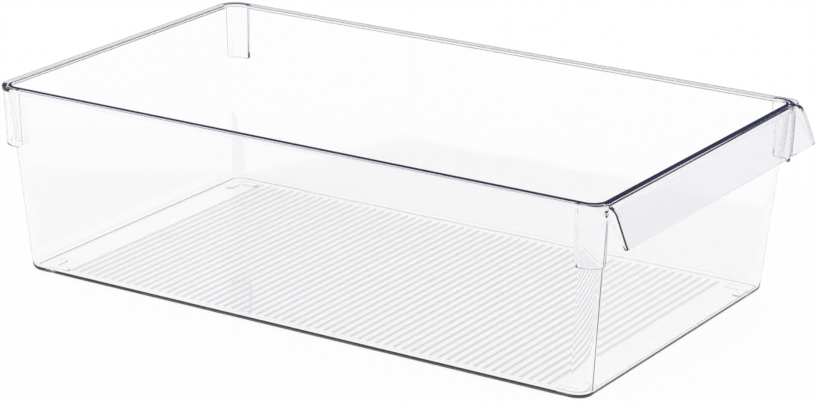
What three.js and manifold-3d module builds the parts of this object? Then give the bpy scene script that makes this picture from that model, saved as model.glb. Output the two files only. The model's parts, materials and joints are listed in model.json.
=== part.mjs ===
// A clear storage bin for a fridge shelf: one plastic moulding, divided here along its features.
// X runs across the bin and Y along it, with the handle at -Y. Z is up and zero is the shelf.
// The origin is under the middle of the whole bin, handle included. Lengths are in millimetres.
import * as THREE from "three";
import { mergeVertices } from "three/addons/utils/BufferGeometryUtils.js";
import Module from "manifold-3d";

const degrees = THREE.MathUtils.degToRad;

// Tub
const mouthLength = 343; // inside the rim, front to back
const mouthWidth = 195; // inside the rim, side to side
const tubHeight = 99.2; // from the floor's underside to the top of the rim
const wallThickness = 2;
const wallCornerRadius = 8.5; // outer corners, seen from above
const sideLean = 6.5; // how far each side wall leans in from the rim down to the floor
const frontLean = 9;
const backLean = 7.4;

// Floor
const floorThickness = 1.8;
const floorEdgeRadius = 2.6; // outer edge where the floor turns up into the walls
const floorFilletRadius = 4; // the same turn, inside
const ribPitch = 5.05;
const ribWidth = 2.6;
const ribHeight = 0.6;
const ribEndMargin = 23.8; // from the floor's front or back edge to the nearest rib's middle
const ribTuck = 0.6; // how far a rib's ends reach into the fillet
const ribTaper = 3; // where each end of a rib sinks back into the floor
const ribRoot = 0.4; // how deep a rib is set into the floor

// Rim
const rimReach = 5; // from the mouth's edge to the rim's outer edge
const rimThickness = 2.3;
const rimEdgeRadius = 0.6;
const rimFrontCornerRadius = 6.5; // the back corners follow the wall's

// Handle
const handleInset = 6; // from the rim's side to the handle's end
const handleFlat = 0.8; // how far it runs level in front of the wall
const handleBendRadius = 7.5; // outer face of the bend
const handleSlope = degrees(22); // of the lip below the bend, from upright
const handleDrop = 19.2; // from the top of the rim to the lip's lower edge
const webThickness = 2.3;
const webDrop = 6; // from the top of the rim to where an end web meets the wall
const webBulge = 1.2; // of the web's lower edge
const webClearance = 0.4; // between the end webs and the wall

// Corner lugs
const lugThickness = 1.8;
const lugGap = 0.6; // from the wall's corner to the lug, under the rim
const lugDrop = 28.8; // below the rim's underside
const lugDraft = 1.1; // how far the lug's foot leans in
const lugArm = 3.2; // the length along the side wall before the corner begins
const lugArmFlare = 1; // how much longer that is at the foot
const lugSweep = degrees(70); // how far the lug goes round the corner
const lugSweepTaper = degrees(4); // how much less that is at the foot
const lugCornerRadius = 2.5; // its lower corners
const lugNotchDrop = 2; // how far a front lug is notched below the handle's end web
const lugWebClearance = 0.4;

// Feet
const footHeight = 0.8;
const footWidth = 4.6;
const footArm = 14; // outer length of each arm
const footCornerRadius = 6;
const footEndRadius = 1.5;
const footInset = 7; // from the floor's edges to the foot

// Steps of the round shapes
const cornerSteps = 8;
const edgeSteps = 4;
const bendSteps = 10;
const ribArcSteps = 4;

const cutOverrun = 5;

// Heights above the shelf
const floorUnderside = footHeight;
const floorTop = floorUnderside + floorThickness;
const seamHeight = floorTop + floorFilletRadius; // where the walls rise from the floor pan
const rimTop = floorUnderside + tubHeight;
const rimUnderside = rimTop - rimThickness;

// The handle's reach in front of the wall, which sets where the middle of the bin is
const bendAngle = Math.PI / 2 - handleSlope;
const tipRadius = rimThickness / 2;
const lipStraight =
  (handleDrop - handleBendRadius * (1 - Math.cos(bendAngle)) - tipRadius * (1 + Math.sin(handleSlope))) /
  Math.cos(handleSlope);
const lipReach =
  handleFlat +
  handleBendRadius * Math.sin(bendAngle) +
  lipStraight * Math.sin(handleSlope) +
  tipRadius * (1 - Math.cos(handleSlope));
const wallTopHalfWidth = mouthWidth / 2 + wallThickness;
const rimHalfWidth = mouthWidth / 2 + rimReach;
const handleHalfWidth = rimHalfWidth - handleInset;
const tubMiddle = (wallThickness + lipReach - rimReach) / 2;
const wallTopFront = tubMiddle - mouthLength / 2 - wallThickness;
const wallTopBack = tubMiddle + mouthLength / 2 + wallThickness;

// The floor's edges
const floorHalfWidth = wallTopHalfWidth - sideLean;
const floorFront = wallTopFront + frontLean;
const floorBack = wallTopBack - backLean;

const wasm = await Module();
wasm.setup();

// A closed surface of points and triangles, with its faces turned outwards.
function closedGeometry(points, triangles) {
  const volume = triangles.reduce((sum, [a, b, c]) => {
    return sum + points[a].dot(new THREE.Vector3().crossVectors(points[b], points[c]));
  }, 0);
  const index = triangles.flatMap(([a, b, c]) => (volume < 0 ? [a, c, b] : [a, b, c]));
  const geometry = new THREE.BufferGeometry().setFromPoints(points);
  geometry.setIndex(index);
  geometry.computeVertexNormals();
  return geometry;
}

// The skin through a row of outlines with as many points each. Its ends are closed with flat caps,
// or with looped set, the last outline is joined to the first.
function loft(outlines, looped = false) {
  const count = outlines[0].length;
  const points = outlines.flat();
  const triangles = [];
  const spans = looped ? outlines.length : outlines.length - 1;
  for (let i = 0; i < spans; i++) {
    const next = (i + 1) % outlines.length;
    for (let j = 0; j < count; j++) {
      const k = (j + 1) % count;
      const [a, b, c, d] = [i * count + j, i * count + k, next * count + k, next * count + j];
      triangles.push([a, b, c], [a, c, d]);
    }
  }
  if (!looped) {
    const last = (outlines.length - 1) * count;
    for (const [start, turned] of [[0, true], [last, false]]) {
      const middle = points.length;
      const outline = points.slice(start, start + count);
      points.push(outline.reduce((sum, p) => sum.add(p), new THREE.Vector3()).divideScalar(count));
      for (let j = 0; j < count; j++) {
        const [a, b] = [start + j, start + ((j + 1) % count)];
        triangles.push(turned ? [middle, b, a] : [middle, a, b]);
      }
    }
  }
  return closedGeometry(points, triangles);
}

function toSolid(geometry) {
  const bare = new THREE.BufferGeometry().setAttribute("position", geometry.getAttribute("position"));
  bare.setIndex(geometry.index);
  const merged = mergeVertices(bare);
  return new wasm.Manifold(
    new wasm.Mesh({
      numProp: 3,
      vertProperties: merged.attributes.position.array,
      triVerts: new Uint32Array(merged.index.array),
    }),
  );
}

function fromSolid(solid) {
  const mesh = solid.getMesh();
  const geometry = new THREE.BufferGeometry();
  geometry.setAttribute("position", new THREE.BufferAttribute(mesh.vertProperties, mesh.numProp));
  geometry.setIndex(new THREE.BufferAttribute(mesh.triVerts, 1));
  geometry.computeVertexNormals();
  return geometry;
}

// A level rectangle with round corners. The inset draws it in on all sides.
function roundedOutline({ halfWidth, front, back, backRadius, frontRadius }, height, inset = 0) {
  const corners = [
    [1, back, backRadius],
    [-1, back, backRadius],
    [-1, front, frontRadius],
    [1, front, frontRadius],
  ];
  return corners.flatMap(([side, end, radius], quarter) => {
    const corner = Math.max(radius - inset, radius / cornerSteps);
    const x = side * (halfWidth - inset - corner);
    const y = end - Math.sign(end - (front + back) / 2) * (inset + corner);
    return Array.from({ length: cornerSteps + 1 }, (_, step) => {
      const angle = ((quarter + step / cornerSteps) * Math.PI) / 2;
      return new THREE.Vector3(x + corner * Math.cos(angle), y + corner * Math.sin(angle), height);
    });
  });
}

// The walls' outer face at a height. It leans in towards the floor.
function wallOutline(height, inset = 0) {
  const down = (rimTop - height) / tubHeight;
  const face = {
    halfWidth: wallTopHalfWidth - sideLean * down,
    front: wallTopFront + frontLean * down,
    back: wallTopBack - backLean * down,
    backRadius: wallCornerRadius,
    frontRadius: wallCornerRadius,
  };
  return roundedOutline(face, height, inset);
}

// One rib across the bin: a low round ridge whose ends sink into the floor.
function ribAt(y) {
  const half = floorHalfWidth - wallThickness - floorFilletRadius + ribTuck;
  const stations = [
    [-half, 0],
    [ribTaper - half, 1],
    [half - ribTaper, 1],
    [half, 0],
  ];
  const outlines = stations.map(([x, rise]) => {
    const crest = Array.from({ length: ribArcSteps + 1 }, (_, step) => {
      const angle = (step / ribArcSteps) * Math.PI;
      const height = ribHeight * (rise * Math.sin(angle)) - (1 - rise) * (ribRoot / 2);
      return new THREE.Vector3(x, y + (ribWidth / 2) * Math.cos(angle), floorTop + height);
    });
    const root = [-ribWidth / 2, ribWidth / 2].map((side) => new THREE.Vector3(x, y + side, floorTop - ribRoot));
    return [...crest, ...root];
  });
  return loft(outlines);
}

function ribbedFloor() {
  const outlines = [];
  for (let step = 0; step <= edgeSteps; step++) {
    const angle = ((step / edgeSteps) * Math.PI) / 2;
    const height = floorUnderside + floorEdgeRadius * (1 - Math.cos(angle));
    outlines.push(wallOutline(height, floorEdgeRadius * (1 - Math.sin(angle))));
  }
  outlines.push(wallOutline(seamHeight), wallOutline(seamHeight, wallThickness));
  for (let step = 1; step <= edgeSteps; step++) {
    const angle = ((step / edgeSteps) * Math.PI) / 2;
    const height = seamHeight - floorFilletRadius * Math.sin(angle);
    outlines.push(wallOutline(height, wallThickness + floorFilletRadius * (1 - Math.cos(angle))));
  }
  const pan = toSolid(loft(outlines));
  const spaces = Math.round((floorBack - floorFront - 2 * ribEndMargin) / ribPitch);
  const middle = (floorBack + floorFront) / 2;
  const ribs = Array.from({ length: spaces + 1 }, (_, i) => toSolid(ribAt(middle + (i - spaces / 2) * ribPitch)));
  return fromSolid(ribs.reduce((floor, rib) => floor.add(rib), pan));
}

function wallShell() {
  const outlines = [
    wallOutline(seamHeight),
    wallOutline(rimUnderside),
    wallOutline(rimUnderside, wallThickness),
    wallOutline(seamHeight, wallThickness),
  ];
  return loft(outlines, true);
}

// The rim is cut back to the wall where the handle takes its place.
function rimFlange() {
  const edge = {
    halfWidth: rimHalfWidth,
    front: wallTopFront + wallThickness - rimReach,
    back: wallTopBack - wallThickness + rimReach,
    backRadius: wallCornerRadius - wallThickness + rimReach,
    frontRadius: rimFrontCornerRadius,
  };
  const outlines = [
    wallOutline(rimUnderside, wallThickness),
    roundedOutline(edge, rimUnderside, rimEdgeRadius),
    roundedOutline(edge, rimUnderside + rimEdgeRadius),
    roundedOutline(edge, rimTop - rimEdgeRadius),
    roundedOutline(edge, rimTop, rimEdgeRadius),
    wallOutline(rimTop, wallThickness - rimEdgeRadius),
    wallOutline(rimTop - rimEdgeRadius, wallThickness),
  ];
  const depth = rimReach + cutOverrun;
  const gap = new THREE.BoxGeometry(2 * handleHalfWidth, depth, rimThickness + 2 * cutOverrun);
  gap.translate(0, wallTopFront - depth / 2, rimTop - rimThickness / 2);
  return fromSolid(toSolid(loft(outlines, true)).subtract(toSolid(gap)));
}

// The handle's profiles are drawn with x out from the wall and y up from the rim's top.
// The outer face runs level, round the bend, down the lip and round its tip.
function outerFace(shape) {
  shape.moveTo(0, 0);
  shape.lineTo(handleFlat, 0);
  shape.absarc(handleFlat, -handleBendRadius, handleBendRadius, Math.PI / 2, handleSlope, true);
  const tipX =
    handleFlat + (handleBendRadius - tipRadius) * Math.sin(bendAngle) + lipStraight * Math.sin(handleSlope);
  shape.absarc(tipX, tipRadius - handleDrop, tipRadius, handleSlope, handleSlope - Math.PI, true);
}

function lipProfile() {
  const shape = new THREE.Shape();
  outerFace(shape);
  const innerRadius = handleBendRadius - rimThickness;
  shape.absarc(handleFlat, -handleBendRadius, innerRadius, handleSlope, Math.PI / 2, false);
  shape.lineTo(0, -rimThickness);
  shape.lineTo(0, 0);
  return shape;
}

// An end web fills the corner between the lip and the wall, and its lower edge runs to the tip.
function webProfile() {
  const shape = new THREE.Shape();
  outerFace(shape);
  const tip = shape.currentPoint.clone();
  const bulgeX = (tip.x + webClearance) / 2 + webBulge;
  const bulgeY = (tip.y - webDrop) / 2 + webBulge;
  shape.quadraticCurveTo(bulgeX, bulgeY, webClearance, -webDrop);
  shape.lineTo(webClearance, -rimThickness);
  shape.lineTo(0, -rimThickness);
  shape.lineTo(0, 0);
  return shape;
}

// Extrudes a handle profile across the bin, from one x to another.
function acrossTheFront(profile, from, to) {
  const geometry = new THREE.ExtrudeGeometry(profile, {
    depth: to - from,
    bevelEnabled: false,
    curveSegments: bendSteps,
  });
  const turn = new THREE.Matrix4().makeBasis(
    new THREE.Vector3(0, -1, 0),
    new THREE.Vector3(0, 0, 1),
    new THREE.Vector3(-1, 0, 0),
  );
  turn.setPosition(to, wallTopFront, rimTop);
  return geometry.applyMatrix4(turn);
}

// A lug hangs from the rim and follows the wall's corner, from along the side wall towards the end
// wall. It is lofted along that path, and its lower corners are round. The corner faces +X and +Y.
function cornerLug() {
  const innerRadius = wallCornerRadius + lugGap;
  const outerRadius = innerRadius + lugThickness;
  const centreX = wallTopHalfWidth - wallCornerRadius;
  const centreY = wallTopBack - wallCornerRadius;
  const path = { top: lugArm + outerRadius * lugSweep };
  path.foot = lugArm + lugArmFlare + outerRadius * (lugSweep - lugSweepTaper);
  const roundShares = Array.from({ length: edgeSteps }, (_, i) => {
    return (lugCornerRadius / path.foot) * (1 - Math.cos(((i / edgeSteps) * Math.PI) / 2));
  });
  const roundShare = lugCornerRadius / path.foot;
  const plainShares = Array.from({ length: cornerSteps + 1 }, (_, i) => {
    return roundShare + (i / cornerSteps) * (1 - 2 * roundShare);
  });
  const shares = [...roundShares, ...plainShares, ...roundShares.map((share) => 1 - share).reverse()];
  const outlines = shares.map((share) => {
    const fromEnd = Math.min(share, 1 - share) * path.foot;
    const short = Math.max(lugCornerRadius - fromEnd, 0);
    const lift = lugCornerRadius - Math.sqrt(Math.max(lugCornerRadius ** 2 - short ** 2, 0));
    const draft = lugDraft * (1 - lift / lugDrop);
    const place = (radius, along, height) => {
      const angle = Math.max(along, 0) / outerRadius;
      const behind = Math.min(along, 0);
      const [x, y] = [centreX + radius * Math.cos(angle), centreY + radius * Math.sin(angle) + behind];
      return new THREE.Vector3(x, y, height);
    };
    const top = share * path.top - lugArm;
    const foot = share * path.foot - lugArm - lugArmFlare;
    return [
      place(outerRadius, top, rimUnderside),
      place(innerRadius, top, rimUnderside),
      place(innerRadius - draft, foot, rimUnderside - lugDrop + lift),
      place(outerRadius - draft, foot, rimUnderside - lugDrop + lift),
    ];
  });
  return loft(outlines);
}

// A front lug is notched at its top where it passes under the handle's end web.
function notchedLug(lug) {
  const width = 2 * (handleHalfWidth + lugWebClearance);
  const foot = rimTop - webDrop - lugNotchDrop;
  const height = rimUnderside + cutOverrun - foot;
  const notch = new THREE.BoxGeometry(width, mouthLength + wallCornerRadius + cutOverrun, height);
  notch.translate(0, tubMiddle, foot + height / 2);
  return fromSolid(toSolid(lug).subtract(toSolid(notch)));
}

// A foot is a bent bar under the floor's corner. The corner faces +X and +Y.
function foot(cornerY) {
  const shape = new THREE.Shape();
  const [arm, width, end, bend] = [footArm, footWidth, footEndRadius, footCornerRadius];
  const inner = Math.max(bend - width, end);
  shape.moveTo(-bend, 0);
  shape.lineTo(end - arm, 0);
  shape.absarc(end - arm, -end, end, Math.PI / 2, Math.PI, false);
  shape.absarc(end - arm, end - width, end, Math.PI, (3 * Math.PI) / 2, false);
  shape.lineTo(-width - inner, -width);
  shape.absarc(-width - inner, -width - inner, inner, Math.PI / 2, 0, true);
  shape.absarc(end - width, end - arm, end, Math.PI, (3 * Math.PI) / 2, false);
  shape.absarc(-end, end - arm, end, (3 * Math.PI) / 2, 2 * Math.PI, false);
  shape.lineTo(0, -bend);
  shape.absarc(-bend, -bend, bend, 0, Math.PI / 2, false);
  const geometry = new THREE.ExtrudeGeometry(shape, {
    depth: footHeight,
    bevelEnabled: false,
    curveSegments: cornerSteps,
  });
  return geometry.translate(floorHalfWidth - footInset, cornerY, 0);
}

// A copy turned over to another corner, about the bin's middle and the tub's middle.
function mirrored(geometry, overX, overY) {
  const copy = geometry.index ? geometry.clone() : mergeVertices(geometry);
  copy.translate(0, -tubMiddle, 0);
  copy.scale(overX, overY, 1);
  copy.translate(0, tubMiddle, 0);
  if (overX * overY < 0) {
    const index = copy.index.array;
    for (let i = 0; i < index.length; i += 3) {
      [index[i + 1], index[i + 2]] = [index[i + 2], index[i + 1]];
    }
  }
  copy.computeVertexNormals();
  return copy;
}

function clearPlastic(name) {
  const material = new THREE.MeshStandardMaterial({ color: 0xeef0f7, roughness: 0.05, metalness: 0 });
  material.name = name;
  material.transparent = true;
  material.opacity = 0.35;
  return material;
}

const bin = new THREE.Group();
bin.name = "storage_bin";

function addPiece(name, geometry) {
  const piece = new THREE.Mesh(geometry, clearPlastic(name));
  piece.name = name;
  bin.add(piece);
}

addPiece("ribbed_floor", ribbedFloor());
addPiece("wall_shell", wallShell());
addPiece("rim_flange", rimFlange());

const lipHalfWidth = handleHalfWidth - webThickness;
addPiece("front_handle_lip", acrossTheFront(lipProfile(), -lipHalfWidth, lipHalfWidth));
addPiece("handle_end_left", acrossTheFront(webProfile(), -handleHalfWidth, -lipHalfWidth));
addPiece("handle_end_right", acrossTheFront(webProfile(), lipHalfWidth, handleHalfWidth));

const backLug = cornerLug();
const frontLug = notchedLug(backLug);
const backFoot = foot(floorBack - footInset);
const frontFoot = foot(2 * tubMiddle - floorFront - footInset);
for (const [side, overX] of [["left", -1], ["right", 1]]) {
  addPiece("corner_lug_front_" + side, mirrored(frontLug, overX, -1));
  addPiece("corner_lug_back_" + side, mirrored(backLug, overX, 1));
  addPiece("foot_front_" + side, mirrored(frontFoot, overX, -1));
  addPiece("foot_back_" + side, mirrored(backFoot, overX, 1));
}

export default bin;
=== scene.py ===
"""A clear fridge bin: one moulding of clear plastic, standing on a pale floor in soft light.

The bin is built as blocks that are joined and cut, as its mould would be: the tub's outer block, the
rim's slab, the bent handle lip with its end webs and its thick root, the curved corner lugs, the feet,
the hollow and the ribs. Everything is in metres, with the handle at -Y and zero on the floor.
"""
import json
import math

import bmesh
import bpy
from mathutils import Matrix, Vector


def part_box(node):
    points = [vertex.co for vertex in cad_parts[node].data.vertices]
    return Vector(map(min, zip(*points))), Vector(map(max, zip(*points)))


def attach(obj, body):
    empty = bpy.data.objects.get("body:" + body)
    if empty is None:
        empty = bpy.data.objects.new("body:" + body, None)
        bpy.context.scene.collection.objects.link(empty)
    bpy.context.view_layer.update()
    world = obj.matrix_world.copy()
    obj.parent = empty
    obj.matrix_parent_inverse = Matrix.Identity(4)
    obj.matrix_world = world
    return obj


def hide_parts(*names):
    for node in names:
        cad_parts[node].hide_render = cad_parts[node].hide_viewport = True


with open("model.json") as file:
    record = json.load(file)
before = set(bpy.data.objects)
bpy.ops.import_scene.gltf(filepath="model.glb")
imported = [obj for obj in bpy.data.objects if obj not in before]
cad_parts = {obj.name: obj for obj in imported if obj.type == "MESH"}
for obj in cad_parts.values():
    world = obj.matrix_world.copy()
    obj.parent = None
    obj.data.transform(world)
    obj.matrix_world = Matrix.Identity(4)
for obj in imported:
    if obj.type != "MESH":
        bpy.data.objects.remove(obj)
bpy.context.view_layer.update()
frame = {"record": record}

# How far joined blocks reach into each other, and how far cuts run past what they cut
TUCK = 0.0008
OVERRUN = 0.006

# The rim
RIM_LOW, RIM_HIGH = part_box("rim_flange")
RIM_TOP = RIM_HIGH[2]
RIM_UNDERSIDE = RIM_LOW[2]
RIM_THICKNESS = RIM_TOP - RIM_UNDERSIDE
RIM_OVERHANG = 0.003
RIM_EDGE = 0.0006
RIM_FRONT_CORNER = 0.0065
RIM_BACK_CORNER = 0.0115
BAY_TUCK = TUCK / 2

# The tub's walls, which lean inwards on their way down
FLOOR_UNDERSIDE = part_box("ribbed_floor")[0][2]
TUB_HEIGHT = RIM_TOP - FLOOR_UNDERSIDE
MOUTH_LENGTH = 0.343
WALL = 0.002
WALL_CORNER = 0.0085
WALL_HALF_WIDTH = RIM_HIGH[0] - RIM_OVERHANG
WALL_BACK = RIM_HIGH[1] - RIM_OVERHANG
WALL_FRONT = WALL_BACK - MOUTH_LENGTH - 2 * WALL
RIM_FRONT = WALL_FRONT - RIM_OVERHANG
SIDE_LEAN = 0.0065
FRONT_LEAN = 0.009
BACK_LEAN = 0.0074

# The floor
FLOOR_THICKNESS = 0.0018
FLOOR_TOP = FLOOR_UNDERSIDE + FLOOR_THICKNESS
FLOOR_EDGE = 0.0026
FLOOR_FILLET = 0.0022

# Ribs across the floor
RIB_PITCH = 0.00505
RIB_WIDTH = 0.0044
RIB_HEIGHT = 0.0001
RIB_SINK = 0.0005
RIB_TAPER = 0.003
RIB_SIDE_MARGIN = 0.0034
RIB_END_MARGIN = 0.0238
RIB_END_SHARE = 0.4
RIB_STEPS = 20

# The handle's lip, its end webs and its root under the rim
HANDLE_HALF_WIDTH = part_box("handle_end_right")[1][0]
HANDLE_FLAT = 0.0008
HANDLE_BEND = 0.0075
HANDLE_SLOPE = math.radians(22)
HANDLE_DROP = 0.0192
WEB_THICKNESS = 0.0023
WEB_DROP = 0.006
LIP_THICKNESS = 0.0018
LIP_EDGE = 0.0005
LIP_ROOT = 0.0022
LIP_ROOT_MARGIN = TUCK / 8

# Corner lugs, each a shell with a return at the wall, an arm, a turn round the corner and a tail
LUG_THICKNESS = 0.002
LUG_GAP = 0.0005
LUG_INNER_RADIUS = WALL_CORNER + LUG_GAP
LUG_MIDDLE_RADIUS = LUG_INNER_RADIUS + LUG_THICKNESS / 2
LUG_CENTRE = Vector((WALL_HALF_WIDTH - WALL_CORNER, WALL_BACK - WALL_CORNER, RIM_UNDERSIDE))
LUG_DROP = 0.0288
LUG_FOOT = RIM_UNDERSIDE - LUG_DROP
LUG_TOP = RIM_UNDERSIDE + 2 * TUCK
LUG_DRAFT = 0.0011
LUG_ARM = 0.001
LUG_RETURN = 0.0024
LUG_RETURN_SWEEP = math.radians(65)
LUG_FLARE = 0.001
LUG_SWEEP = math.radians(58)
LUG_TAIL = 0.0026
LUG_CORNER = 0.0022
LUG_EDGE = 0.0003
LUG_TRIM = TUCK / 16
LUG_SHARP_FROM = math.radians(60)

# Feet
FOOT_WIDTH = 0.0046
FOOT_ARM = 0.014
FOOT_CORNER = 0.006
FOOT_END = 0.0015
FOOT_INSET = 0.007

# Steps of the round shapes, how round a bevel is, and how the finished surface is shaded
CORNER_STEPS = 14
EDGE_STEPS = 6
SMALL_STEPS = 4
ROUND_PROFILE_SHARE = 0.5
SMOOTH_UP_TO = math.radians(40)
LARGE_FACE_WEIGHT = 100

# Points this close are merged, and places this close count as the same
MERGE_WITHIN = 1e-6
SAME_WITHIN = 2e-5

# The plastic: the tint in its depth, its flow ripple and the haze that makes its polish uneven
PLASTIC_IOR = 1.58
DEPTH_COLOUR = (0.25, 0.27, 0.57, 1)
DEPTH_DENSITY = 8
RIPPLE = {"Scale": 38, "Detail": 1.5, "Roughness": 0.4}
RIPPLE_RELIEF = {"Strength": 0.05, "Distance": 0.002}
HAZE = {"Scale": 160, "Detail": 4, "Roughness": 0.6}
POLISH_RANGE = {"To Min": 0.01, "To Max": 0.035}

# The painted shade on the crests of the ribs, a grey in place of the one that their bending of light gives:
# the shares of their height where it begins and is full, its grey, and how far above them it still counts
CREST_FROM_SHARE = 0.05
CREST_FULL_SHARE = 0.35
CREST_PAINTED_SHADE = (0.54, 0.55, 0.57, 1)
CREST_MARGIN = 0.00003

# The camera
CAMERA_PLACE = (-1.24136, -0.79720, 0.53581)
CAMERA_AZIMUTH = math.radians(-57.37)
CAMERA_ELEVATION = math.radians(18.44)
CAMERA_ROLL = math.radians(0.37)
CAMERA_LENS_MM = 135.36
CAMERA_REACH = 20.0

# The dark side of the studio: its direction, where it begins and is full, its colour, and before which
# diffuse depth of a ray it shows
DARK_SIDE = (-0.84, -0.54, 0.0)
DARK_FROM_SHARE = 0.0
DARK_FULL_SHARE = 0.5
DARK_COLOUR = (0.015, 0.018, 0.06, 1)
DARK_BEFORE_DEPTH = 0.5

# The low sky that the plastic's level faces mirror: how high it reaches and its colour
LOW_SKY_FULL_SHARE = 0.4
LOW_SKY_END_SHARE = 0.65
LOW_SKY_COLOUR = (0.16, 0.17, 0.34, 1)

# The studio's floor, and how much of what is seen of it is plain white
FLOOR_COLOUR = (0.96, 0.96, 0.965, 1)
FLOOR_ROUGHNESS = 0.9
FLOOR_WHITE_SHARE = 0.94
FLOOR_SIZE = 6.0
FLOOR_DROP = 0.0003

# Plain white, and the strength at which it shows as full white
WHITE = (1, 1, 1, 1)
WHITE_STRENGTH = 1

# Spacing of the nodes in the editor
NODE_COLUMN = 220
NODE_ROW = 300


def add_camera():
    """A long lens at the photograph's viewing angle."""
    camera = bpy.data.objects.new("camera", bpy.data.cameras.new("camera"))
    bpy.context.scene.collection.objects.link(camera)
    camera.data.lens = CAMERA_LENS_MM
    camera.data.clip_end = CAMERA_REACH
    camera.matrix_world = (
        Matrix.Translation(CAMERA_PLACE)
        @ Matrix.Rotation(CAMERA_AZIMUTH, 4, "Z")
        @ Matrix.Rotation(math.pi / 2 - CAMERA_ELEVATION, 4, "X")
        @ Matrix.Rotation(CAMERA_ROLL, 4, "Z")
    )
    bpy.context.scene.camera = camera


def start_piece(name):
    """Names the primitive that was just added, puts its place in its mesh and opens it for editing."""
    piece = bpy.context.object
    piece.name = name
    piece.data.name = name
    bpy.ops.object.transform_apply(location=True, rotation=True, scale=True)
    bpy.ops.object.mode_set(mode="EDIT")
    return piece


def close_piece(piece):
    """Leaves edit mode with the doubles merged and the faces turned outwards."""
    bpy.ops.mesh.select_all(action="SELECT")
    bpy.ops.mesh.remove_doubles(threshold=MERGE_WITHIN)
    bpy.ops.mesh.delete_loose()
    bpy.ops.mesh.normals_make_consistent(inside=False)
    bpy.ops.object.mode_set(mode="OBJECT")
    return piece


def add_block(name, low, high):
    """A box from its lowest to its highest corner, open in edit mode."""
    bpy.ops.object.select_all(action="DESELECT")
    low, high = Vector(low), Vector(high)
    bpy.ops.mesh.primitive_cube_add(size=1, location=(low + high) / 2, scale=high - low)
    return start_piece(name)


def add_section(name, middle, width, height, turn):
    """An upright rectangle to extrude: along Y as it is, and along X with a quarter turn."""
    bpy.ops.object.select_all(action="DESELECT")
    bpy.ops.mesh.primitive_plane_add(size=1, location=middle, rotation=(math.pi / 2, 0, turn))
    section = start_piece(name)
    bpy.ops.mesh.select_all(action="SELECT")
    bpy.ops.transform.resize(value=(width, width, height), center_override=middle)
    return section


def select_points(test):
    """Selects the points of the mesh in edit mode that pass a test on their place."""
    bpy.ops.mesh.select_mode(type="VERT")
    bpy.ops.mesh.select_all(action="DESELECT")
    mesh = bmesh.from_edit_mesh(bpy.context.object.data)
    for point in mesh.verts:
        point.select = test(point.co)
    mesh.select_flush(True)
    bmesh.update_edit_mesh(bpy.context.object.data)


def select_edges(test):
    """Selects the edges of the mesh in edit mode that pass a test on the places of their two ends."""
    bpy.ops.mesh.select_mode(type="EDGE")
    bpy.ops.mesh.select_all(action="DESELECT")
    mesh = bmesh.from_edit_mesh(bpy.context.object.data)
    for edge in mesh.edges:
        edge.select_set(test(edge.verts[0].co, edge.verts[1].co))
    bmesh.update_edit_mesh(bpy.context.object.data)


def both_ends(test):
    """An edge test that asks both ends to pass a test on their place."""
    return lambda a, b: test(a) and test(b)


def near(a, b):
    """Whether two measures are the same but for rounding."""
    return abs(a - b) < SAME_WITHIN


def climbs(a, b):
    """Whether an edge's two ends differ in height."""
    return not near(a.z, b.z)


def extrude_along(way):
    """Extrudes the selected faces straight."""
    bpy.ops.mesh.extrude_region_move(TRANSFORM_OT_translate={"value": way})


def round_edges(radius, steps):
    """Gives the selected edges a round bevel."""
    bpy.ops.mesh.bevel(
        offset=radius, segments=steps, profile=ROUND_PROFILE_SHARE, affect="EDGES", clamp_overlap=False
    )


def combine(piece, other, operation):
    """Joins another piece to this one, cuts it away or keeps what both share, and removes the other."""
    change = piece.modifiers.new(operation.lower(), "BOOLEAN")
    change.operation = operation
    change.solver = "EXACT"
    change.object = other
    bpy.ops.object.select_all(action="DESELECT")
    bpy.context.view_layer.objects.active = piece
    piece.select_set(True)
    bpy.ops.object.modifier_apply(modifier=change.name)
    bpy.data.objects.remove(other)


def wall_box(height, inset):
    """The walls' half width, front and back at a height, drawn in by an inset."""
    down_share = (RIM_TOP - height) / TUB_HEIGHT
    half_width = WALL_HALF_WIDTH - SIDE_LEAN * down_share - inset
    front = WALL_FRONT + FRONT_LEAN * down_share + inset
    back = WALL_BACK - BACK_LEAN * down_share - inset
    return half_width, front, back


def tub_block(name, inset, low, high, edge_radius):
    """The tub's form, drawn in by an inset: leaning faces, round corners and a round lower edge."""
    half_width, front, back = wall_box(high, inset)
    block = add_block(name, (-half_width, front, low), (half_width, back, high))
    foot_half_width, foot_front, foot_back = wall_box(low, inset)
    select_points(lambda place: near(place.z, low))
    middle = (0, (front + back) / 2, low)
    stretch = (foot_half_width / half_width, (foot_back - foot_front) / (back - front), 1)
    bpy.ops.transform.resize(value=stretch, center_override=middle)
    bpy.ops.transform.translate(value=(0, (foot_front + foot_back - front - back) / 2, 0))
    select_edges(climbs)
    round_edges(WALL_CORNER - inset, CORNER_STEPS)
    select_edges(both_ends(lambda place: near(place.z, low)))
    round_edges(edge_radius, EDGE_STEPS)
    return close_piece(block)


def rim_slab():
    """The rim as a full slab, with a bay in front that the handle fills."""
    slab = add_block("rim", (RIM_LOW[0], RIM_FRONT, RIM_UNDERSIDE), RIM_HIGH)
    middle = (RIM_FRONT + RIM_HIGH[1]) / 2
    select_edges(lambda a, b: climbs(a, b) and a.y > middle)
    round_edges(RIM_BACK_CORNER, CORNER_STEPS)
    select_edges(lambda a, b: climbs(a, b) and a.y < middle)
    round_edges(RIM_FRONT_CORNER, CORNER_STEPS)
    select_edges(lambda a, b: not climbs(a, b))
    round_edges(RIM_EDGE, SMALL_STEPS)
    close_piece(slab)
    bay_low = (-HANDLE_HALF_WIDTH + TUCK, RIM_FRONT - OVERRUN, RIM_UNDERSIDE - OVERRUN)
    bay_high = (HANDLE_HALF_WIDTH - TUCK, WALL_FRONT + BAY_TUCK, RIM_TOP + OVERRUN)
    combine(slab, close_piece(add_block("bay", bay_low, bay_high)), "DIFFERENCE")
    return slab


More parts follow.
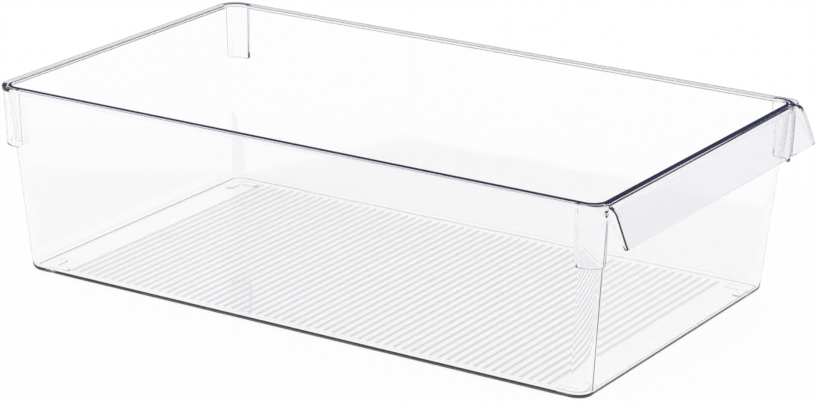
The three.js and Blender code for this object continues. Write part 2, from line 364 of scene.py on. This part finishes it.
def bent_strip(name, left, right, root_depth):
    """A strip that leaves the rim level, bends down and ends in a round edge.

    It is as deep as asked where it leaves the rim and as thin as the lip at its lower edge.
    """
    section = (right + left) / 2, WALL_FRONT + TUCK, RIM_TOP - root_depth / 2
    strip = add_section(name, section, right - left, root_depth, 0)
    extrude_along((0, -TUCK - HANDLE_FLAT, 0))
    bend_angle = math.pi / 2 - HANDLE_SLOPE
    bend_middle = Vector((0, WALL_FRONT - HANDLE_FLAT, RIM_TOP - HANDLE_BEND))
    bpy.ops.mesh.spin(steps=CORNER_STEPS, angle=-bend_angle, center=bend_middle, axis=(1, 0, 0))
    down = Vector((0, -math.sin(HANDLE_SLOPE), -math.cos(HANDLE_SLOPE)))
    out = Vector((0, -math.cos(HANDLE_SLOPE), math.sin(HANDLE_SLOPE)))
    bend_end = bend_middle + out * HANDLE_BEND
    tip_height = RIM_TOP - HANDLE_DROP
    straight = (bend_end.z - tip_height) / math.cos(HANDLE_SLOPE)
    extrude_along(down * straight)
    tip = bend_end + down * straight
    if root_depth > LIP_THICKNESS:
        select_points(lambda place: (place - tip).dot(down) > -TUCK and (place - tip).dot(out) < -TUCK)
        bpy.ops.transform.translate(value=out * (root_depth - LIP_THICKNESS))

    def at_lower_edge(place):
        return near((place - tip).dot(down), 0)

    select_edges(lambda a, b: at_lower_edge(a) and at_lower_edge(b) and not near(a.x, b.x))
    round_edges(LIP_EDGE, SMALL_STEPS)
    return close_piece(strip)


def lip_root():
    """A round bar along the front wall, where the wall and the lip grow together."""
    low = (-HANDLE_HALF_WIDTH + TUCK, WALL_FRONT - LIP_ROOT, RIM_UNDERSIDE - LIP_ROOT)
    high = (HANDLE_HALF_WIDTH - TUCK, WALL_FRONT + TUCK, RIM_UNDERSIDE + TUCK)
    root = add_block("lip_root", low, high)
    select_edges(both_ends(lambda place: near(place.y, low[1]) and near(place.z, low[2])))
    round_edges(LIP_ROOT - LIP_ROOT_MARGIN, EDGE_STEPS)
    return close_piece(root)


def lug_hull(side):
    """The block that a lug is trimmed to, with a round lower corner on its side along the wall."""
    low = (LUG_CENTRE.x - WALL_CORNER, side, LUG_FOOT + LUG_TRIM)
    reach = LUG_INNER_RADIUS + OVERRUN
    high = (LUG_CENTRE.x + reach, LUG_CENTRE.y + reach, LUG_TOP + TUCK)
    hull = add_block("hull", low, high)
    select_edges(both_ends(lambda place: near(place.y, side) and near(place.z, low[2])))
    round_edges(LUG_CORNER, EDGE_STEPS)
    return close_piece(hull)


def corner_lug(name):
    """A curved shell that hangs from the rim round the back right corner.

    It begins with a round return at the wall, runs on along the wall, turns with the corner and ends in a
    short straight tail. It leans with the wall, and its lower corners are round.
    """
    return_middle = LUG_CENTRE + Vector((LUG_MIDDLE_RADIUS - LUG_RETURN, -LUG_ARM, 0))
    outwards = Vector((math.cos(LUG_RETURN_SWEEP), -math.sin(LUG_RETURN_SWEEP), 0))
    start = return_middle + outwards * LUG_RETURN
    start.z = (LUG_TOP + LUG_FOOT) / 2
    lug = add_section(name, start, LUG_THICKNESS, LUG_TOP - LUG_FOOT, -LUG_RETURN_SWEEP)
    bpy.ops.mesh.spin(steps=EDGE_STEPS, angle=-LUG_RETURN_SWEEP, center=return_middle, axis=(0, 0, 1))
    extrude_along((0, LUG_ARM, 0))
    bpy.ops.mesh.spin(steps=CORNER_STEPS, angle=-LUG_SWEEP, center=LUG_CENTRE, axis=(0, 0, 1))
    along = Vector((-math.sin(LUG_SWEEP), math.cos(LUG_SWEEP), 0))
    extrude_along(along * LUG_TAIL)
    shrink = 1 - LUG_DRAFT / LUG_MIDDLE_RADIUS
    select_points(lambda place: near(place.z, LUG_FOOT))
    foot_middle = (LUG_CENTRE.x, LUG_CENTRE.y, LUG_FOOT)
    bpy.ops.transform.resize(value=(shrink, shrink, 1), center_override=foot_middle)
    select_points(lambda place: near(place.z, LUG_FOOT) and place.y < LUG_CENTRE.y - LUG_ARM / 2)
    bpy.ops.transform.translate(value=(0, -LUG_FLARE, 0))

    def at_tail_foot(place):
        return near(place.z, LUG_FOOT) and near((place - LUG_CENTRE).dot(along), LUG_TAIL * shrink)

    select_edges(both_ends(at_tail_foot))
    round_edges(LUG_CORNER, EDGE_STEPS)
    bpy.ops.mesh.select_all(action="DESELECT")
    bpy.ops.mesh.edges_select_sharp(sharpness=LUG_SHARP_FROM)
    round_edges(LUG_EDGE, SMALL_STEPS)
    close_piece(lug)
    side = min(point.co.y for point in lug.data.vertices) - LUG_TRIM
    combine(lug, lug_hull(side), "INTERSECT")
    return lug


def bent_foot(name):
    """A low bent bar under the floor's back right corner."""
    half_width, _, back = wall_box(FLOOR_UNDERSIDE, FOOT_INSET)
    height = FLOOR_UNDERSIDE + TUCK
    start = (half_width - FOOT_ARM, back - FOOT_WIDTH / 2, height / 2)
    foot = add_section(name, start, FOOT_WIDTH, height, math.pi / 2)
    straight = FOOT_ARM - FOOT_CORNER
    extrude_along((straight, 0, 0))
    bend_middle = (half_width - FOOT_CORNER, back - FOOT_CORNER, 0)
    bpy.ops.mesh.spin(steps=CORNER_STEPS, angle=math.pi / 2, center=bend_middle, axis=(0, 0, 1))
    extrude_along((0, -straight, 0))

    def at_an_end(place):
        return near(place.x, half_width - FOOT_ARM) or near(place.y, back - FOOT_ARM)

    select_edges(lambda a, b: climbs(a, b) and at_an_end(a))
    round_edges(FOOT_END, EDGE_STEPS)
    return close_piece(foot)


def mirrored_copy(piece, name, over_x, over_y):
    """A copy turned over to another corner, about the bin's middle and the tub's middle."""
    copy = bpy.data.objects.new(name, piece.data.copy())
    bpy.context.scene.collection.objects.link(copy)
    tub_middle = Vector((0, (WALL_FRONT + WALL_BACK) / 2, 0))
    scale = Matrix.Diagonal((over_x, over_y, 1, 1))
    copy.data.transform(Matrix.Translation(tub_middle) @ scale @ Matrix.Translation(-tub_middle))
    if over_x * over_y < 0:
        copy.data.flip_normals()
    return copy


def floor_ribs():
    """Low round ribs across the floor, the first modelled and the rest in a row behind it."""
    half_width, front, back = wall_box(FLOOR_UNDERSIDE, 0)
    axis_height = FLOOR_TOP - RIB_SINK
    half_height = RIB_HEIGHT + RIB_SINK
    spaces = round((back - front - 2 * RIB_END_MARGIN) / RIB_PITCH)
    first = (front + back - spaces * RIB_PITCH) / 2
    half_length = half_width - WALL - RIB_SIDE_MARGIN - RIB_TAPER
    bpy.ops.object.select_all(action="DESELECT")
    bpy.ops.mesh.primitive_cylinder_add(
        vertices=RIB_STEPS,
        radius=RIB_WIDTH / 2,
        depth=2 * half_length,
        location=(0, first, axis_height),
        rotation=(0, math.pi / 2, 0),
    )
    ribs = start_piece("ribs")
    bpy.ops.mesh.select_all(action="SELECT")
    flatten = 2 * half_height / RIB_WIDTH
    bpy.ops.transform.resize(value=(1, 1, flatten), center_override=(0, first, axis_height))
    for side in (-1, 1):
        select_points(lambda place: near(place.x, side * half_length))
        extrude_along((side * RIB_TAPER, 0, 0))
        end = (side * half_length, first, axis_height - half_height * (1 - RIB_END_SHARE))
        bpy.ops.transform.resize(value=(1, RIB_END_SHARE, RIB_END_SHARE), center_override=end)
    close_piece(ribs)
    row = ribs.modifiers.new("row", "ARRAY")
    row.count = spaces + 1
    row.use_relative_offset = False
    row.use_constant_offset = True
    row.constant_offset_displace = (0, RIB_PITCH, 0)
    bpy.context.view_layer.objects.active = ribs
    bpy.ops.object.modifier_apply(modifier=row.name)
    return ribs


def clear_moulding():
    """The whole bin as one body."""
    bin_body = tub_block("clear_bin_moulding", 0, FLOOR_UNDERSIDE, RIM_TOP - RIM_THICKNESS / 2, FLOOR_EDGE)
    combine(bin_body, rim_slab(), "UNION")
    web_inner = HANDLE_HALF_WIDTH - WEB_THICKNESS
    combine(bin_body, bent_strip("lip", -HANDLE_HALF_WIDTH, HANDLE_HALF_WIDTH, LIP_THICKNESS), "UNION")
    for left, right in ((-HANDLE_HALF_WIDTH, -web_inner), (web_inner, HANDLE_HALF_WIDTH)):
        combine(bin_body, bent_strip("web", left, right, WEB_DROP), "UNION")
    combine(bin_body, lip_root(), "UNION")
    lug, foot = corner_lug("lug"), bent_foot("foot")
    for over_x in (-1, 1):
        for over_y in (-1, 1):
            combine(bin_body, mirrored_copy(lug, "lug_copy", over_x, over_y), "UNION")
            combine(bin_body, mirrored_copy(foot, "foot_copy", over_x, over_y), "UNION")
    bpy.data.objects.remove(lug)
    bpy.data.objects.remove(foot)
    combine(bin_body, tub_block("hollow", WALL, FLOOR_TOP, RIM_TOP + OVERRUN, FLOOR_FILLET), "DIFFERENCE")
    combine(bin_body, floor_ribs(), "UNION")
    return bin_body


def finish_surface(piece):
    """Rounds the mouth's edge and shades the round shapes smooth, with the flat faces kept flat."""
    bpy.context.view_layer.objects.active = piece
    bpy.ops.object.mode_set(mode="EDIT")
    half_width, front, back = wall_box(RIM_TOP, WALL / 2)

    def on_the_mouth(place):
        return near(place.z, RIM_TOP) and abs(place.x) < half_width and front < place.y < back

    select_edges(both_ends(on_the_mouth))
    round_edges(RIM_EDGE, SMALL_STEPS)
    close_piece(piece)
    bpy.ops.object.select_all(action="DESELECT")
    piece.select_set(True)
    bpy.context.view_layer.objects.active = piece
    bpy.ops.object.shade_smooth_by_angle(angle=SMOOTH_UP_TO)
    even = piece.modifiers.new("even_normals", "WEIGHTED_NORMAL")
    even.keep_sharp = True
    even.weight = LARGE_FACE_WEIGHT
    bpy.ops.object.modifier_apply(modifier=even.name)


def set_inputs(node, inputs):
    """Sets each named or numbered input to a value, or links another node's output to it."""
    for name, value in inputs.items():
        if isinstance(value, bpy.types.NodeSocket):
            node.id_data.links.new(value, node.inputs[name])
        else:
            node.inputs[name].default_value = value


def add_node(tree, kind, column, row, inputs, **settings):
    """Adds a node at a column and row of the editor, with its settings and then its inputs."""
    node = tree.nodes.new(kind)
    node.location = (column * NODE_COLUMN, row * NODE_ROW)
    for name, value in settings.items():
        setattr(node, name, value)
    set_inputs(node, inputs)
    return node


def calculate(tree, column, row, operation, first, second, use_clamp=False):
    """What a sum or a comparison makes of two values."""
    inputs = {0: first, 1: second}
    node = add_node(tree, "ShaderNodeMath", column, row, inputs, operation=operation, use_clamp=use_clamp)
    return node.outputs["Value"]


def soft_step(tree, column, row, value, start, end):
    """Runs softly from 0 where a value is at the start to 1 where it is at the end."""
    inputs = {"Value": value, "From Min": start, "From Max": end}
    node = add_node(tree, "ShaderNodeMapRange", column, row, inputs, interpolation_type="SMOOTHSTEP")
    return node.outputs["Result"]


def mix_colours(tree, column, row, share, first, second):
    """Runs from the first colour to the second one with a share."""
    inputs = {"Fac": share, "Color1": first, "Color2": second}
    return add_node(tree, "ShaderNodeMixRGB", column, row, inputs).outputs["Color"]


def crest_painted_shade(tree, place):
    """White all over, and a light grey of painted shade on the crests of the floor's ribs."""
    height = add_node(tree, "ShaderNodeSeparateXYZ", -4, 1, {"Vector": place}).outputs["Z"]
    crest_from = FLOOR_TOP + RIB_HEIGHT * CREST_FROM_SHARE
    crest_full = FLOOR_TOP + RIB_HEIGHT * CREST_FULL_SHARE
    crest = soft_step(tree, -3, 2, height, crest_from, crest_full)
    ribs_only = calculate(tree, -3, 3, "LESS_THAN", height, FLOOR_TOP + RIB_HEIGHT + CREST_MARGIN)
    shade_band = calculate(tree, -2, 2, "MULTIPLY", crest, ribs_only)
    return mix_colours(tree, -1, 1, shade_band, WHITE, CREST_PAINTED_SHADE)


def clear_plastic():
    """Clear styrene: smooth, with a faint flow ripple, a faint violet tint in its depth and painted shade
    on the ribs' crests.
    """
    material = bpy.data.materials.new("clear_plastic")
    material.use_nodes = True
    tree = material.node_tree
    place = add_node(tree, "ShaderNodeTexCoord", -5, 0, {}).outputs["Object"]
    flow = add_node(tree, "ShaderNodeTexNoise", -3, -1, {"Vector": place, **RIPPLE}).outputs["Fac"]
    haze = add_node(tree, "ShaderNodeTexNoise", -3, 0, {"Vector": place, **HAZE}).outputs["Fac"]
    ripple = add_node(tree, "ShaderNodeBump", -1, -1, {"Height": flow, **RIPPLE_RELIEF})
    polish = add_node(tree, "ShaderNodeMapRange", -1, 0, {"Value": haze, **POLISH_RANGE})
    depth = add_node(
        tree, "ShaderNodeVolumeAbsorption", 0, -2, {"Color": DEPTH_COLOUR, "Density": DEPTH_DENSITY}
    )
    surface = {
        # The base colour carries a painted shade: light grey on the crests of the floor's ribs
        "Base Color": crest_painted_shade(tree, place),
        "Roughness": polish.outputs["Result"],
        "Normal": ripple.outputs["Normal"],
        "Transmission Weight": 1,
        "IOR": PLASTIC_IOR,
    }
    set_inputs(tree.nodes["Principled BSDF"], surface)
    set_inputs(tree.nodes["Material Output"], {"Volume": depth.outputs["Volume"]})
    return material


def pale_floor():
    """A pale matt surface that the eye sees as white with a light soft shadow."""
    material = bpy.data.materials.new("pale_floor")
    material.use_nodes = True
    tree = material.node_tree
    surface = tree.nodes["Principled BSDF"]
    set_inputs(surface, {"Base Color": FLOOR_COLOUR, "Roughness": FLOOR_ROUGHNESS, "Specular IOR Level": 0})
    white = add_node(tree, "ShaderNodeEmission", 0, 1, {"Color": WHITE, "Strength": WHITE_STRENGTH})
    ray = add_node(tree, "ShaderNodeLightPath", -4, 2, {}).outputs
    reflected = calculate(tree, -3, 2, "MAXIMUM", ray["Is Camera Ray"], ray["Is Glossy Ray"])
    seen = calculate(tree, -2, 2, "MAXIMUM", reflected, ray["Is Transmission Ray"])
    white_share = calculate(tree, -1, 2, "MULTIPLY", seen, FLOOR_WHITE_SHARE)
    layers = {"Fac": white_share, 1: surface.outputs["BSDF"], 2: white.outputs["Emission"]}
    blend = add_node(tree, "ShaderNodeMixShader", 1, 1, layers)
    set_inputs(tree.nodes["Material Output"], {"Surface": blend.outputs["Shader"]})
    return material


def add_floor():
    """A plain level floor just under the feet."""
    bpy.ops.object.select_all(action="DESELECT")
    bpy.ops.mesh.primitive_plane_add(size=FLOOR_SIZE, location=(0, 0, -FLOOR_DROP))
    floor = bpy.context.object
    floor.name = "studio_floor"
    bpy.ops.object.transform_apply(location=True, rotation=True, scale=True)
    floor.data.materials.append(pale_floor())


def add_surroundings():
    """White all round, but for a dark side and a dim low sky that only the plastic picks up.

    The dark side lies towards the camera and shows in what is seen by reflection or through the plastic.
    It takes no light from the floor, because a ray that has left the floor sees white on all sides. The
    low sky shows by reflection alone.
    """
    world = bpy.data.worlds.new("studio")
    bpy.context.scene.world = world
    world.use_nodes = True
    tree = world.node_tree
    way = add_node(tree, "ShaderNodeTexCoord", -7, 0, {}).outputs["Generated"]
    ray = add_node(tree, "ShaderNodeLightPath", -6, 2, {}).outputs
    glossy, through = ray["Is Glossy Ray"], ray["Is Transmission Ray"]

    height = add_node(tree, "ShaderNodeSeparateXYZ", -6, -1, {"Vector": way}).outputs["Z"]
    low = soft_step(tree, -5, -1, height, LOW_SKY_END_SHARE, LOW_SKY_FULL_SHARE)
    mirrored = calculate(tree, -5, -2, "SUBTRACT", glossy, through, use_clamp=True)
    mirrored_low = calculate(tree, -4, -1, "MULTIPLY", low, mirrored)
    sky = mix_colours(tree, -3, -1, mirrored_low, WHITE, LOW_SKY_COLOUR)

    towards = add_node(tree, "ShaderNodeVectorMath", -6, 0, {0: way, 1: DARK_SIDE}, operation="DOT_PRODUCT")
    edge = soft_step(tree, -5, 0, towards.outputs["Value"], DARK_FROM_SHARE, DARK_FULL_SHARE)
    by_plastic = calculate(tree, -5, 2, "MAXIMUM", glossy, through)
    direct = calculate(tree, -5, 1, "LESS_THAN", ray["Diffuse Depth"], DARK_BEFORE_DEPTH)
    seen = calculate(tree, -4, 2, "MULTIPLY", by_plastic, direct)
    dark = calculate(tree, -3, 1, "MULTIPLY", edge, seen)
    shade = mix_colours(tree, -2, 0, dark, sky, DARK_COLOUR)
    set_inputs(tree.nodes["Background"], {"Color": shade, "Strength": WHITE_STRENGTH})


bpy.context.scene.view_settings.view_transform = "Standard"
add_camera()
add_surroundings()
add_floor()

moulding = clear_moulding()
finish_surface(moulding)
moulding.data.materials.clear()
moulding.data.materials.append(clear_plastic())
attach(moulding, "root")
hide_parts(*[row["node"] for row in frame["record"]["subparts"]])
